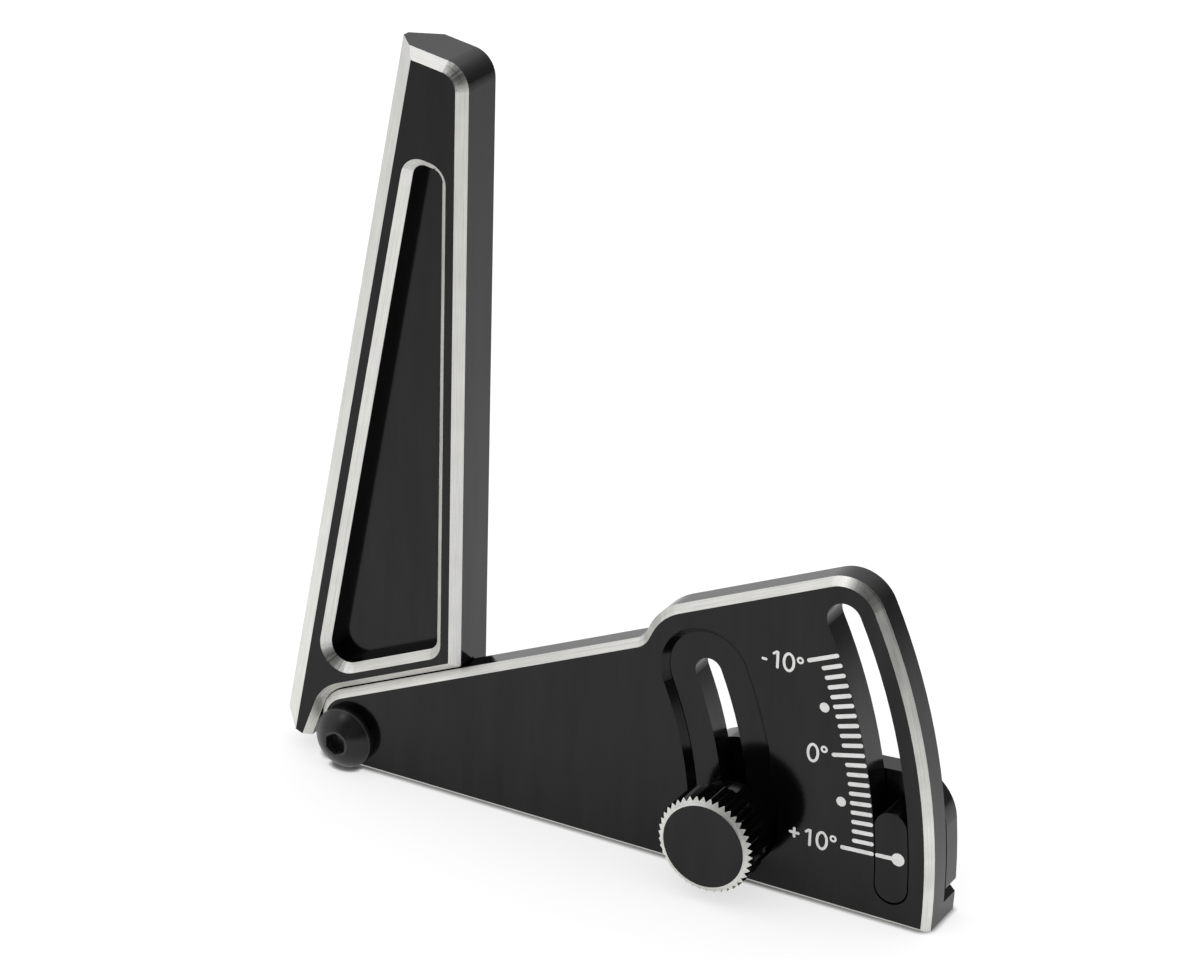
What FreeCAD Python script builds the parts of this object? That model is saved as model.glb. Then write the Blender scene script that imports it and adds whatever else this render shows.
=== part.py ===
import FreeCAD, Part

import math
import os

import Sketcher

# Camber caster gauge: a sector plate that stands on its straight lower edge, and a tapered
# arm that turns about a screw at the plate's left end. X runs along the plate, Y into the
# depth and Z up. The origin lies on the ground below the pivot, in the middle plane of the
# stock, where the arm's measuring edge is. The arm is set at +10 degrees: its measuring edge
# leans right and its leg, behind the plate, is at the bottom of its travel.
#
# Each body has a frame of its own, with its origin where its axis meets the common front
# face of plate and blade. Depths count from that face and directions from the X axis,
# counter-clockwise as seen from the front.

DRIVING_SIZES = [
    # stock and pivot
    ("stock_thickness", 7.0, "thickness of the bar both plates are cut from"),
    ("web_thickness", 3.9, "sector plate above its foot"),
    ("pivot_height", 4.0, "pivot axis above the ground"),
    ("slide_gap", 0.05, "play between faces that slide on each other"),
    ("running_gap", 0.05, "radial play of a shank that turns in a hole"),
    ("ground_gap", 0.1, "least height of the arm above the ground"),
    # outline of the sector plate
    ("sector_radius", 77.1, "arc at the right end"),
    ("edge_angle", 23.8, "slope of the upper edges"),
    ("lower_reach", 5.47, "pivot to the lower of the two upper edges"),
    ("upper_reach", 8.54, "pivot to the upper edge beyond the shoulder"),
    ("shoulder_reach", 45.56, "pivot to the foot of the shoulder"),
    ("shoulder_ramp", 42.0, "steepness of the shoulder against the edges"),
    ("hollow_radius", 2.0, "rounding at the foot of the shoulder"),
    ("crown_radius", 7.5, "rounding at the top of the shoulder"),
    ("plate_tip_radius", 5.0, "upper right corner"),
    ("heel_reach", 4.2, "pivot to the left edge"),
    ("heel_radius", 4.5, "upper left corner, round the pivot"),
    ("toe_radius", 1.5, "lower left corner, before the lower edge is faced"),
    ("plate_chamfer", 0.9, "bright chamfer round the front face"),
    ("facing_cut", 0.5, "taken off the lower edge after the chamfer is cut"),
    ("foot_height", 3.0, "deep foot along the lower edge"),
    ("foot_start", 6.0, "pivot to the foot's left end"),
    ("foot_corner", 0.7, "chamfer on the foot's upper right corner"),
    # scale and slots
    ("zero_angle", 13.5, "zero mark above the horizontal"),
    ("half_range", 10.0, "degrees from the zero mark to each end mark"),
    ("stop_margin", 0.1, "degrees past the end marks before the clamp's slot stops the arm"),
    ("scale_rim", 2.8, "sector's arc to the pointer's slot"),
    ("scale_slot_width", 4.3, "pointer's slot"),
    ("pointer_gap", 0.15, "pointer to the slot's walls"),
    ("pointer_reach", 2.9, "degrees from the pointer's middle to its round ends' centres"),
    ("clamp_radius", 52.1, "pivot to the clamp screw"),
    ("clamp_angle", 3.9, "clamp screw above the horizontal"),
    ("clamp_slot_width", 3.4, "clamp screw's slot"),
    ("track_width", 10.0, "floor of the track round the clamp slot"),
    ("track_depth", 0.85, "depth of the track"),
    ("track_wall", 0.1, "straight foot of the track's bevelled wall"),
    # arm
    ("land_reach", 10.2, "pivot to the measuring edge"),
    ("land_bevel", 3.0, "bevel on both sides of the measuring edge"),
    ("top_reach", 88.05, "pivot to the arm's top"),
    ("blade_top_width", 9.8, "blade's width along its top"),
    ("blade_corner", 3.2, "blade's upper right corner"),
    ("edge_gap", 0.2, "blade's lower edge above the sector plate"),
    ("wall_gap", 0.5, "blade's inner wall to the sector plate's left edge"),
    ("wall_corner", 5.0, "rounding between inner wall and lower edge"),
    ("arm_chamfer", 1.1, "bright chamfer on the blade's top and right edges"),
    ("seam_chamfer", 0.9, "bright chamfer where the blade faces the sector plate"),
    ("pocket_left", 5.2, "measuring edge to the pocket's wall"),
    ("pocket_right", 3.2, "blade's right edge to the pocket's wall"),
    ("pocket_bottom", 2.78, "blade's lower edge to the pocket's wall"),
    ("pocket_top", 13.15, "blade's top to the pocket's wall"),
    ("pocket_depth", 3.0, "depth of the pocket"),
    ("pocket_chamfer", 1.0, "bright chamfer round the pocket"),
    ("pocket_corner", 1.5, "pocket's upper and right corners"),
    ("pocket_toe", 2.3, "pocket's sharp lower left corner"),
    ("leg_drop", 0.4, "leg's lower edge below the pivot axis"),
    ("leg_tip_radius", 6.0, "leg's upper right corner"),
    ("leg_corner", 0.5, "leg's lower right corner"),
    ("crook_radius", 3.0, "inner corner between blade and leg"),
    # pivot screw, its washer and the shim
    ("pivot_diameter", 4.0, "M4 shank"),
    ("pivot_head_diameter", 7.6, "button head"),
    ("pivot_head_height", 2.2, "button head"),
    ("pivot_head_rim", 0.4, "straight rim below the dome"),
    ("pivot_head_flat", 3.4, "flat ring round the socket"),
    ("pivot_socket", 2.5, "hexagon socket across its flats"),
    ("pivot_socket_depth", 1.4, "hexagon socket"),
    ("pivot_tip_gap", 0.4, "screw's end below the leg's back"),
    ("pivot_washer_thickness", 0.8, "washer between head and plate"),
    ("pivot_washer_diameter", 7.6, "washer between head and plate"),
    ("shim_thickness", 0.2, "shim between plate and leg"),
    ("shim_diameter", 7.4, "shim between plate and leg"),
    # thumbscrew
    ("stud_diameter", 3.0, "M3 stud"),
    ("stud_grip", 6.0, "stud inside the knob"),
    ("stud_tip_gap", 0.4, "stud's end below the leg's back"),
    ("stud_tip_chamfer", 0.4, "stud's end"),
    ("washer_diameter", 9.0, "washer on the track's floor"),
    ("washer_thickness", 0.5, "washer on the track's floor"),
    ("collar_diameter", 9.6, "knob's collar"),
    ("collar_length", 3.25, "knob's collar"),
    ("knob_diameter", 12.0, "over the knurl"),
    ("knob_length", 4.5, "knurled head"),
    ("knob_face", 10.6, "flat front of the head"),
    ("knob_front_chamfer", 0.6, "depth of the bright toothed chamfer"),
    ("knob_back_chamfer", 0.4, "rear edge of the head"),
    ("knurl_count", 42, "teeth round the head"),
    ("knurl_depth", 0.42, "depth of a notch"),
    ("knurl_angle", 90.0, "opening of a notch"),
]

# Depths behind the front face.
LEG_FRONT = "(dims.web_thickness + dims.slide_gap + dims.shim_thickness)"
LEG_THICKNESS = "(dims.stock_thickness - %s)" % LEG_FRONT
WEB_CLEAR = "(dims.web_thickness - dims.slide_gap)"
HEAD_SEAT = "(-dims.slide_gap - dims.pivot_washer_thickness)"
HEAD_FRONT = "(%s - dims.pivot_head_height)" % HEAD_SEAT
WASHER_BACK = "(dims.track_depth - dims.slide_gap)"
COLLAR_BACK = "(%s - dims.washer_thickness)" % WASHER_BACK
KNOB_BACK = "(%s - dims.collar_length)" % COLLAR_BACK
KNOB_FRONT = "(%s - dims.knob_length)" % KNOB_BACK
STUD_FRONT = "(%s - dims.stud_grip)" % COLLAR_BACK
STUD_TIP = "(dims.stock_thickness - dims.stud_tip_gap)"

# The blade's edges that face plate and ground, from the pivot, and the arm's whole travel.
SWING = "(2 * dims.half_range)"
SEAM_REACH = "(dims.lower_reach + dims.edge_gap)"
WALL_REACH = "(dims.heel_reach + dims.wall_gap)"
BOSS_RADIUS = "(dims.pivot_height - dims.ground_gap)"

# Outward normals of the blade's edges. The land is upright at the zero mark, wall and lower
# end line up with the plate's left edge and with the ground at the far end of the travel.
LAND_WAY = "(180 - dims.half_range)"
TOP_WAY = "(90 - dims.half_range)"
END_WAY = "(270 - %s)" % SWING
WALL_WAY = "(360 - %s)" % SWING
SEAM_WAY = "(270 + dims.edge_angle)"

# The blade tapers to its top's width between the leaning land and its upright right edge.
BLADE_RIGHT = ("((dims.blade_top_width - dims.land_reach) * cos(dims.half_range * 1 deg)"
               " + dims.top_reach * sin(dims.half_range * 1 deg))")

# Middle of the pointer's slot from the pivot.
SCALE_RADIUS = "(dims.sector_radius - dims.scale_rim - dims.scale_slot_width / 2)"

# Clamp screw from the pivot. Its stud meets the slot's end at the end of the travel, with the
# pointer still clear of its own slot's end.
CLAMP_ACROSS = "(dims.clamp_radius * cos(dims.clamp_angle * 1 deg))"
CLAMP_UP = "(dims.clamp_radius * sin(dims.clamp_angle * 1 deg))"
STUD_PLAY = "((dims.clamp_slot_width - dims.stud_diameter) / 2)"
TRAVEL_REACH = "(dims.half_range + dims.stop_margin)"
CLAMP_REACH = "(%s - %s / dims.clamp_radius * 180 / pi)" % (TRAVEL_REACH, STUD_PLAY)

# How far one pad's outline runs into another inside the finished solid.
OVERLAP = "1"

PIVOT = FreeCAD.Vector(0, 0, 0)

doc = FreeCAD.newDocument("camber_gauge")
dims = doc.addObject("Spreadsheet::Sheet", "dims")
for row, (alias, value, note) in enumerate(DRIVING_SIZES, start=1):
    dims.set("A%d" % row, alias)
    dims.set("B%d" % row, str(value))
    dims.set("C%d" % row, note)
    dims.setAlias("B%d" % row, alias)
doc.recompute()


def measure(expression):
    """Value of an expression of sheet cells."""
    result = dims.evalExpression(expression)
    return float(getattr(result, "Value", result))


# Bodies, sketches and their constraints


def new_body(name, across="0", up="0"):
    """Body whose frame lies at a place seen from the pivot, on the front face."""
    body = doc.addObject("PartDesign::Body", name)
    body.Label = name
    body.setExpression("Placement.Base.x", across)
    body.setExpression("Placement.Base.y", "-dims.stock_thickness / 2")
    body.setExpression("Placement.Base.z", "dims.pivot_height + %s" % up)
    return body


def new_sketch(body, name, role):
    sketch = body.newObject("Sketcher::SketchObject", name)
    planes = [feature for feature in body.Origin.OriginFeatures if feature.Role == role]
    sketch.AttachmentSupport = [(planes[0], "")]
    sketch.MapMode = "FlatFace"
    return sketch


def front_sketch(body, name, depth="0"):
    """Sketch parallel to the front face, at a depth behind it."""
    sketch = new_sketch(body, name, "XZ_Plane")
    sketch.setExpression("AttachmentOffset.Base.z", "-(%s)" % depth)
    doc.recompute()
    return sketch


def axial_sketch(body, name):
    """Sketch through the body's axis: its X is the depth and its Y a radius."""
    sketch = new_sketch(body, name, "YZ_Plane")
    doc.recompute()
    return sketch


def tie(sketch, *arguments):
    sketch.addConstraint(Sketcher.Constraint(*arguments))


def bind(sketch, arguments, expression):
    """Dimension that follows an expression of sheet cells."""
    value = measure(expression)
    if arguments[0] == "Angle":
        value = math.radians(value)
        expression = "(%s) * 1 deg" % expression
    index = sketch.addConstraint(Sketcher.Constraint(*arguments, value))
    sketch.setExpression("Constraints[%d]" % index, expression)


def hold_edge(sketch, line, way, distance):
    """Fix a line by its outward normal's direction and its distance from the pivot."""
    bind(sketch, ("Angle", line), "%s + 90" % way)
    bind(sketch, ("Distance", -1, 1, line), "abs(%s)" % distance)


def add_line(sketch, start, end):
    return sketch.addGeometry(Part.LineSegment(start, end), False)


def add_arc(sketch, centre, start, end):
    """Counter-clockwise arc between two points."""
    first = math.atan2(start.y - centre.y, start.x - centre.x)
    last = math.atan2(end.y - centre.y, end.x - centre.x)
    if last <= first:
        last += 2 * math.pi
    circle = Part.Circle(centre, FreeCAD.Vector(0, 0, 1), start.distanceToPoint(centre))
    return sketch.addGeometry(Part.ArcOfCircle(circle, first, last), False)


def along(distance, direction):
    """Point at a distance from the pivot, in a direction in degrees."""
    angle = math.radians(direction)
    return FreeCAD.Vector(distance * math.cos(angle), distance * math.sin(angle), 0)


def crossing(first, second):
    """Where two lines meet, each given by its outward normal and its distance."""
    way_1, distance_1 = math.radians(first[0]), first[1]
    way_2, distance_2 = math.radians(second[0]), second[1]
    divisor = math.sin(way_2 - way_1)
    across = (distance_1 * math.sin(way_2) - distance_2 * math.sin(way_1)) / divisor
    up = (distance_2 * math.cos(way_1) - distance_1 * math.cos(way_2)) / divisor
    return FreeCAD.Vector(across, up, 0)


def straight_outline(sketch, edges):
    """Closed counter-clockwise outline of edges, each (outward normal, distance).

    Returns its corners: the first is where the last edge meets the first.
    """
    held = [(measure(way), measure(distance)) for way, distance in edges]
    corners = [crossing(held[place - 1], held[place]) for place in range(len(held))]
    lines = []
    for place, corner in enumerate(corners):
        lines.append(add_line(sketch, corner, corners[(place + 1) % len(corners)]))
    for place, line in enumerate(lines):
        tie(sketch, "Coincident", lines[place - 1], 2, line, 1)
    for line, (way, distance) in zip(lines, edges):
        hold_edge(sketch, line, way, distance)
    return corners


def arc_slot(sketch, radius, middle, reach, half_width):
    """Slot along an arc about the pivot; its round ends' centres lie reach degrees away."""
    mid_radius, half = measure(radius), measure(half_width)
    low = measure("%s - %s" % (middle, reach))
    high = measure("%s + %s" % (middle, reach))
    inner, outer = mid_radius - half, mid_radius + half
    inner_arc = add_arc(sketch, PIVOT, along(inner, low), along(inner, high))
    outer_arc = add_arc(sketch, PIVOT, along(outer, low), along(outer, high))
    high_cap = add_arc(sketch, along(mid_radius, high), along(outer, high), along(inner, high))
    low_cap = add_arc(sketch, along(mid_radius, low), along(inner, low), along(outer, low))
    tie(sketch, "Coincident", inner_arc, 3, -1, 1)
    tie(sketch, "Coincident", outer_arc, 3, -1, 1)
    tie(sketch, "Tangent", outer_arc, 2, high_cap, 1)
    tie(sketch, "Tangent", high_cap, 2, inner_arc, 2)
    tie(sketch, "Tangent", inner_arc, 1, low_cap, 1)
    tie(sketch, "Tangent", low_cap, 2, outer_arc, 1)
    bind(sketch, ("Radius", inner_arc), "%s - %s" % (radius, half_width))
    bind(sketch, ("Radius", outer_arc), "%s + %s" % (radius, half_width))
    for cap, sign in ((high_cap, "+"), (low_cap, "-")):
        direction = "((%s %s %s) * 1 deg)" % (middle, sign, reach)
        bind(sketch, ("DistanceY", -1, 1, cap, 3), "%s * sin%s" % (radius, direction))


def add_circle(sketch, diameter, across=None, up=None):
    """Circle on the body's axis, or at a place seen from it."""
    centre = PIVOT if across is None else FreeCAD.Vector(measure(across), measure(up), 0)
    circle = Part.Circle(centre, FreeCAD.Vector(0, 0, 1), measure(diameter) / 2)
    index = sketch.addGeometry(circle, False)
    bind(sketch, ("Diameter", index), diameter)
    if across is None:
        tie(sketch, "Coincident", index, 3, -1, 1)
    else:
        bind(sketch, ("DistanceX", -1, 1, index, 3), across)
        bind(sketch, ("DistanceY", -1, 1, index, 3), up)


def turned_profile(sketch, points, dome=None):
    """Closed counter-clockwise profile of (depth, radius) points; "0" keeps one on the axis.

    The stretch that starts at point number dome is an arc about a centre on the axis.
    """
    places = [FreeCAD.Vector(measure(depth), measure(radius), 0) for depth, radius in points]
    stretches = []
    for place, start in enumerate(places):
        end = places[(place + 1) % len(places)]
        if place == dome:
            rise = start.y ** 2 - end.y ** 2
            middle = (start.x + end.x) / 2 + rise / (2 * (start.x - end.x))
            stretches.append(add_arc(sketch, FreeCAD.Vector(middle, 0, 0), start, end))
            tie(sketch, "PointOnObject", stretches[-1], 3, -1)
        else:
            stretches.append(add_line(sketch, start, end))
    for place, (depth, radius) in enumerate(points):
        tie(sketch, "Coincident", stretches[place - 1], 2, stretches[place], 1)
        bind(sketch, ("DistanceX", -1, 1, stretches[place], 1), depth)
        if radius == "0":
            tie(sketch, "PointOnObject", stretches[place], 1, -1)
        else:
            bind(sketch, ("DistanceY", -1, 1, stretches[place], 1), radius)


# Features


def pad(body, name, sketch, length):
    """Pad from the sketch into the depth."""
    feature = body.newObject("PartDesign::Pad", name)
    feature.Profile = sketch
    feature.Reversed = True
    feature.Refine = True
    feature.setExpression("Length", length)
    doc.recompute()
    return feature


def cut(body, name, sketch, length=None):
    """Pocket from the sketch into the depth; without a length it goes right through."""
    before = body.Shape.Volume
    feature = body.newObject("PartDesign::Pocket", name)
    feature.Profile = sketch
    feature.Refine = True
    if length is None:
        feature.Type = "ThroughAll"
    else:
        feature.setExpression("Length", length)
    doc.recompute()
    if not body.Shape.Volume < before:
        raise RuntimeError(name + " removes nothing")
    return feature


def revolve(body, name, sketch):
    """Revolution of an axial sketch about the body's axis."""
    feature = body.newObject("PartDesign::Revolution", name)
    feature.Profile = sketch
    feature.ReferenceAxis = (sketch, ["H_Axis"])
    feature.Angle = 360
    doc.recompute()
    return feature


def dress(body, kind, name, edges, size):
    """Fillet or chamfer on edges of the body's last feature, given by their numbers."""
    last = body.Tip
    feature = body.newObject("PartDesign::" + kind, name)
    feature.Base = (last, ["Edge%d" % number for number in edges])
    feature.setExpression("Radius" if kind == "Fillet" else "Size", size)
    doc.recompute()
    return feature


def numbered_edges(body, test):
    """Numbers of the edges of the body's last feature that pass a test."""
    found = [number for number, edge in enumerate(body.Tip.Shape.Edges, start=1) if test(edge)]
    if not found:
        raise RuntimeError("no edge found on " + body.Label)
    return found


def at_depth(shape, depth):
    box = shape.BoundBox
    return abs(box.YMin - depth) < 0.001 and abs(box.YMax - depth) < 0.001


def edge_ends(edge):
    return [edge.Vertexes[0].Point, edge.Vertexes[-1].Point]


def corner_edges(body, corner):
    """Edges that run into the depth at a corner of an outline."""
    def test(edge):
        return all(math.hypot(end.x - corner.x, end.z - corner.y) < 0.01
                   for end in edge_ends(edge))
    return numbered_edges(body, test)


def edges_on(body, depth, lines):
    """Edges at a depth that lie on one of the lines, each (outward normal, distance)."""
    level = measure(depth)
    held = [(along(1, measure(way)), measure(distance)) for way, distance in lines]

    def test(edge):
        if not at_depth(edge, level):
            return False
        return any(all(abs(end.x * way.x + end.z * way.y - distance) < 0.01
                       for end in edge_ends(edge)) for way, distance in held)
    return numbered_edges(body, test)


def rim_edges(body, depth, inner):
    """Edges round the largest face at a depth: its inner boundaries, or its outer one."""
    level = measure(depth)
    faces = [face for face in body.Tip.Shape.Faces if at_depth(face, level)]
    largest = max(faces, key=lambda face: face.Area)
    rim = [edge for wire in largest.Wires
           if wire.isSame(largest.OuterWire) != inner for edge in wire.Edges]
    return numbered_edges(body, lambda edge: any(edge.isSame(other) for other in rim))


# The outline that sector plate and leg share


def sector_end(sketch, turned, low_height, next_line):
    """Arc, top edge, shoulder and rising edge, counter-clockwise.

    turned is how far they are turned from the plate's place, in degrees. The arc starts at
    low_height and the rising edge ends on next_line, (outward normal, distance). Returns
    arc and rising edge, and the corners by name.
    """
    slope = "(dims.edge_angle + 90 + %s)" % turned
    ramp = "(%s + dims.shoulder_ramp)" % slope
    way, radius = measure(slope), measure("dims.sector_radius")
    lower, upper = measure("dims.lower_reach"), measure("dims.upper_reach")
    reach = measure("dims.shoulder_reach")
    hollow = along(reach, way - math.degrees(math.acos(lower / reach)))
    tip = along(radius, way - math.degrees(math.acos(upper / radius)))
    ramp_distance = hollow.dot(along(1, measure(ramp)))
    crown = crossing((way, upper), (measure(ramp), ramp_distance))
    start = FreeCAD.Vector(math.sqrt(radius ** 2 - low_height ** 2), low_height, 0)
    finish = crossing((way, lower), next_line)
    arc = add_arc(sketch, PIVOT, start, tip)
    top = add_line(sketch, tip, crown)
    shoulder = add_line(sketch, crown, hollow)
    rising = add_line(sketch, hollow, finish)
    tie(sketch, "Coincident", arc, 3, -1, 1)
    tie(sketch, "Coincident", arc, 2, top, 1)
    tie(sketch, "Coincident", top, 2, shoulder, 1)
    tie(sketch, "Coincident", shoulder, 2, rising, 1)
    bind(sketch, ("Radius", arc), "dims.sector_radius")
    hold_edge(sketch, top, slope, "dims.upper_reach")
    bind(sketch, ("Angle", shoulder), "%s + 90" % ramp)
    bind(sketch, ("Distance", -1, 1, shoulder, 2), "dims.shoulder_reach")
    hold_edge(sketch, rising, slope, "dims.lower_reach")
    return arc, rising, {"start": start, "tip": tip, "crown": crown, "hollow": hollow,
                         "finish": finish}


def round_sector_end(body, name, corners):
    for corner, radius in (("tip", "dims.%s_tip_radius" % name),
                           ("crown", "dims.crown_radius"), ("hollow", "dims.hollow_radius")):
        dress(body, "Fillet", "%s_%s" % (name, corner), corner_edges(body, corners[corner]),
              radius)


# Sub-parts


def make_base_plate():
    """Sector plate: thin web with scale face, pointer slot, clamp slot and a deep foot."""
    body = new_body("base_plate")
    faced = "(dims.pivot_height + dims.facing_cut)"
    low = -measure(faced)
    heel_line = (180, measure("dims.heel_reach"))
    outline = front_sketch(body, "plate_outline")
    arc, rising, corners = sector_end(outline, "0", low, heel_line)
    toe = FreeCAD.Vector(-measure("dims.heel_reach"), low, 0)
    left = add_line(outline, corners["finish"], toe)
    lower = add_line(outline, toe, corners["start"])
    tie(outline, "Coincident", rising, 2, left, 1)
    tie(outline, "Coincident", left, 2, lower, 1)
    tie(outline, "Coincident", lower, 2, arc, 1)
    hold_edge(outline, left, "180", "dims.heel_reach")
    hold_edge(outline, lower, "270", faced)
    pad(body, "plate_web", outline, "dims.web_thickness")
    round_sector_end(body, "plate", corners)
    dress(body, "Fillet", "plate_heel", corner_edges(body, corners["finish"]),
          "dims.heel_radius")
    dress(body, "Fillet", "plate_toe", corner_edges(body, toe), "dims.toe_radius")
    dress(body, "Chamfer", "plate_bright_edge", rim_edges(body, "0", False),
          "dims.plate_chamfer")
    facing = front_sketch(body, "facing_outline")
    straight_outline(facing, [("0", "(dims.sector_radius + %s)" % OVERLAP),
                              ("90", "-dims.pivot_height"),
                              ("180", "(dims.heel_reach + %s)" % OVERLAP),
                              ("270", "(%s + %s)" % (faced, OVERLAP))])
    cut(body, "plate_facing", facing)

    pivot_hole = front_sketch(body, "pivot_hole_outline")
    add_circle(pivot_hole, "dims.pivot_diameter + 2 * dims.running_gap")
    cut(body, "pivot_hole", pivot_hole)
    pointer_slot = front_sketch(body, "pointer_slot_outline")
    arc_slot(pointer_slot, SCALE_RADIUS, "dims.zero_angle",
             "(%s + dims.pointer_reach)" % TRAVEL_REACH, "dims.scale_slot_width / 2")
    cut(body, "pointer_slot", pointer_slot)
    middle = "(dims.clamp_angle + dims.half_range)"
    track = front_sketch(body, "track_outline")
    arc_slot(track, "dims.clamp_radius", middle, CLAMP_REACH, "dims.track_width / 2")
    cut(body, "track", track, "dims.track_depth")
    wall = measure("dims.clamp_radius + dims.track_width / 2")
    rim = [number for number in rim_edges(body, "0", True)
           if body.Tip.Shape.Edges[number - 1].BoundBox.XMin < wall]
    dress(body, "Chamfer", "track_bevel", rim, "dims.track_depth - dims.track_wall")
    clamp_slot = front_sketch(body, "clamp_slot_outline")
    arc_slot(clamp_slot, "dims.clamp_radius", middle, CLAMP_REACH,
             "dims.clamp_slot_width / 2")
    cut(body, "clamp_slot", clamp_slot)
    make_foot(body)
    return body


def make_foot(body):
    """Foot of full depth along the lower edge, ended by the sector's arc."""
    outline = front_sketch(body, "foot_outline", "dims.web_thickness")
    top = "(dims.foot_height - dims.pivot_height)"
    radius, start = measure("dims.sector_radius"), measure("dims.foot_start")
    low, high = -measure("dims.pivot_height"), measure(top)
    arc_low = FreeCAD.Vector(math.sqrt(radius ** 2 - low ** 2), low, 0)
    arc_high = FreeCAD.Vector(math.sqrt(radius ** 2 - high ** 2), high, 0)
    arc = add_arc(outline, PIVOT, arc_low, arc_high)
    upper = add_line(outline, arc_high, FreeCAD.Vector(start, high, 0))
    left = add_line(outline, FreeCAD.Vector(start, high, 0), FreeCAD.Vector(start, low, 0))
    lower = add_line(outline, FreeCAD.Vector(start, low, 0), arc_low)
    tie(outline, "Coincident", arc, 3, -1, 1)
    tie(outline, "Coincident", arc, 2, upper, 1)
    tie(outline, "Coincident", upper, 2, left, 1)
    tie(outline, "Coincident", left, 2, lower, 1)
    tie(outline, "Coincident", lower, 2, arc, 1)
    bind(outline, ("Radius", arc), "dims.sector_radius")
    hold_edge(outline, upper, "90", top)
    hold_edge(outline, left, "180", "dims.foot_start")
    hold_edge(outline, lower, "270", "dims.pivot_height")
    pad(body, "foot", outline, "dims.stock_thickness - dims.web_thickness")
    dress(body, "Chamfer", "foot_end", corner_edges(body, arc_high), "dims.foot_corner")


def make_gauge_arm():
    """Blade with its measuring edge, and the leg that carries the pointer behind the plate."""
    body = new_body("gauge_arm")
    land, top = (LAND_WAY, "dims.land_reach"), (TOP_WAY, "dims.top_reach")
    right, end = ("0", BLADE_RIGHT), (END_WAY, BOSS_RADIUS)
    seam = [(WALL_WAY, "-%s" % WALL_REACH), (SEAM_WAY, "-%s" % SEAM_REACH)]
    outline = front_sketch(body, "blade_outline")
    corners = straight_outline(outline, [right, top, land, end] + seam)
    pad(body, "blade", outline, "dims.stock_thickness")
    dress(body, "Fillet", "blade_corner_round", corner_edges(body, corners[1]),
          "dims.blade_corner")
    dress(body, "Fillet", "blade_wall_round", corner_edges(body, corners[5]),
          "dims.wall_corner")
    bevelled = edges_on(body, "0", [land]) + edges_on(body, "dims.stock_thickness", [land])
    dress(body, "Chamfer", "land_bevels", bevelled, "dims.land_bevel")
    dress(body, "Chamfer", "blade_bright_edge", edges_on(body, "0", [top, right]),
          "dims.arm_chamfer")
    dress(body, "Chamfer", "seam_bright_edge", edges_on(body, "0", seam), "dims.seam_chamfer")
    make_leg(body)
    make_pocket(body)
    make_pointer(body)
    holes = front_sketch(body, "arm_hole_outline")
    add_circle(holes, "dims.pivot_diameter")
    add_circle(holes, "dims.stud_diameter + 2 * dims.running_gap", CLAMP_ACROSS, CLAMP_UP)
    cut(body, "arm_holes", holes)
    return body


def make_leg(body):
    """Leg behind the sector plate: the plate's own upper outline turned back by the travel."""
    low_height = -measure("dims.leg_drop")
    boss = measure(BOSS_RADIUS)
    root_height = "(dims.top_reach / 4)"
    root_reach = "(dims.land_reach - dims.land_bevel - %s)" % OVERLAP
    right_line = (0, measure(BLADE_RIGHT))
    height_line = (90, measure(root_height))
    root_line = (measure(LAND_WAY), measure(root_reach))
    outline = front_sketch(body, "leg_outline", LEG_FRONT)
    arc, rising, corners = sector_end(outline, "-%s" % SWING, low_height, right_line)
    root = [corners["finish"], crossing(right_line, height_line),
            crossing(height_line, root_line), crossing(root_line, (measure(END_WAY), boss)),
            along(boss, measure(END_WAY))]
    side, roof, back, end = [add_line(outline, root[place], root[place + 1])
                             for place in range(4)]
    boss_exit = FreeCAD.Vector(math.sqrt(boss ** 2 - low_height ** 2), low_height, 0)
    boss_arc = add_arc(outline, PIVOT, root[4], boss_exit)
    lower = add_line(outline, boss_exit, corners["start"])
    for first, second in ((rising, side), (side, roof), (roof, back), (back, end)):
        tie(outline, "Coincident", first, 2, second, 1)
    tie(outline, "Tangent", end, 2, boss_arc, 1)
    tie(outline, "Coincident", boss_arc, 3, -1, 1)
    tie(outline, "Coincident", boss_arc, 2, lower, 1)
    tie(outline, "Coincident", lower, 2, arc, 1)
    hold_edge(outline, side, "0", BLADE_RIGHT)
    hold_edge(outline, roof, "90", root_height)
    hold_edge(outline, back, LAND_WAY, root_reach)
    bind(outline, ("Angle", end), "%s + 90" % END_WAY)
    bind(outline, ("Radius", boss_arc), BOSS_RADIUS)
    hold_edge(outline, lower, "270", "dims.leg_drop")
    pad(body, "leg", outline, LEG_THICKNESS)
    round_sector_end(body, "leg", corners)
    dress(body, "Fillet", "crook", corner_edges(body, corners["finish"]), "dims.crook_radius")
    dress(body, "Fillet", "leg_end", corner_edges(body, corners["start"]), "dims.leg_corner")


def make_pocket(body):
    """Deep pocket in the blade's front, its sides parallel to the blade's edges."""
    outline = front_sketch(body, "pocket_outline")
    corners = straight_outline(outline, [
        ("0", "(%s - dims.pocket_right)" % BLADE_RIGHT),
        (TOP_WAY, "(dims.top_reach - dims.pocket_top)"),
        (LAND_WAY, "(dims.land_reach - dims.pocket_left)"),
        (SEAM_WAY, "-(%s + dims.pocket_bottom)" % SEAM_REACH)])
    cut(body, "pocket", outline, "dims.pocket_depth")
    dress(body, "Fillet", "pocket_toe_round", corner_edges(body, corners[3]),
          "dims.pocket_toe")
    others = [number for place in (0, 1, 2) for number in corner_edges(body, corners[place])]
    dress(body, "Fillet", "pocket_rounds", others, "dims.pocket_corner")
    dress(body, "Chamfer", "pocket_bright_edge", rim_edges(body, "0", True),
          "dims.pocket_chamfer")


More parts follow.
